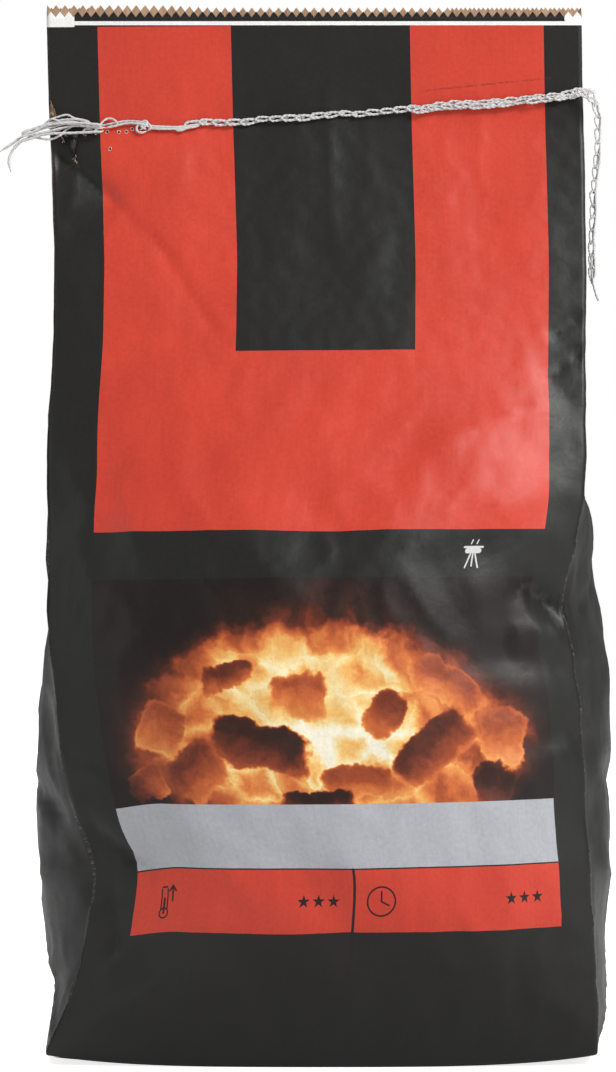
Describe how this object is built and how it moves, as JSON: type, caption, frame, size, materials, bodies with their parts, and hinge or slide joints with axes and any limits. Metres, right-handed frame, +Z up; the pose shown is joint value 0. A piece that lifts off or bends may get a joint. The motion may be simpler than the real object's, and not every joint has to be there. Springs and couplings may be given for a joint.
{
  "type": "paper charcoal sack",
  "caption": "Filled and sewn gusseted paper sack of lump charcoal, standing on its block bottom, with loose thread ends.",
  "frame": {"origin": "middle of the block bottom, where the sack stands", "axes": "+Z up along the sack's height, -Y out of the printed front, +X to the right of someone facing the front"},
  "size_m": [0.3167, 0.2106, 0.5437],
  "materials": {
    "printed_paper": "black and red print on kraft paper, with a slight sheen",
    "kraft_paper": "uncoated brown kraft",
    "thread": "soft spun bag-closing yarn",
    "charcoal": "matt charred wood"
  },
  "bodies": {
    "root": {"outer_ply": "printed_paper", "inner_ply": "kraft_paper", "looper_chain": "thread", "needle_thread": "thread", "chain_tail_right": "thread", "needle_tail_left": "thread", "looper_tail_left": "thread", "charcoal_lump_01": "charcoal", "charcoal_lump_02": "charcoal", "charcoal_lump_03": "charcoal", "charcoal_lump_04": "charcoal", "charcoal_lump_05": "charcoal", "charcoal_lump_06": "charcoal", "charcoal_lump_07": "charcoal", "charcoal_lump_08": "charcoal", "charcoal_lump_09": "charcoal", "charcoal_lump_10": "charcoal", "charcoal_lump_11": "charcoal", "charcoal_lump_12": "charcoal", "charcoal_lump_13": "charcoal", "charcoal_lump_14": "charcoal", "charcoal_lump_15": "charcoal", "charcoal_lump_16": "charcoal", "charcoal_lump_17": "charcoal", "charcoal_lump_18": "charcoal", "charcoal_lump_19": "charcoal", "charcoal_lump_20": "charcoal", "charcoal_lump_21": "charcoal", "charcoal_lump_22": "charcoal", "charcoal_lump_23": "charcoal", "charcoal_lump_24": "charcoal", "charcoal_lump_25": "charcoal", "charcoal_lump_26": "charcoal", "charcoal_lump_27": "charcoal", "charcoal_lump_28": "charcoal", "charcoal_lump_29": "charcoal", "charcoal_lump_30": "charcoal", "charcoal_lump_31": "charcoal", "charcoal_lump_32": "charcoal", "charcoal_lump_33": "charcoal", "charcoal_lump_34": "charcoal", "charcoal_lump_35": "charcoal", "charcoal_lump_36": "charcoal", "charcoal_lump_37": "charcoal", "charcoal_lump_38": "charcoal", "charcoal_lump_39": "charcoal", "charcoal_lump_40": "charcoal", "charcoal_lump_41": "charcoal", "charcoal_lump_42": "charcoal", "charcoal_lump_43": "charcoal", "charcoal_lump_44": "charcoal", "charcoal_lump_45": "charcoal", "charcoal_lump_46": "charcoal", "charcoal_lump_47": "charcoal", "charcoal_lump_48": "charcoal", "charcoal_lump_49": "charcoal", "charcoal_lump_50": "charcoal", "charcoal_lump_51": "charcoal", "charcoal_lump_52": "charcoal", "charcoal_lump_53": "charcoal"}
  },
  "joints": []
}
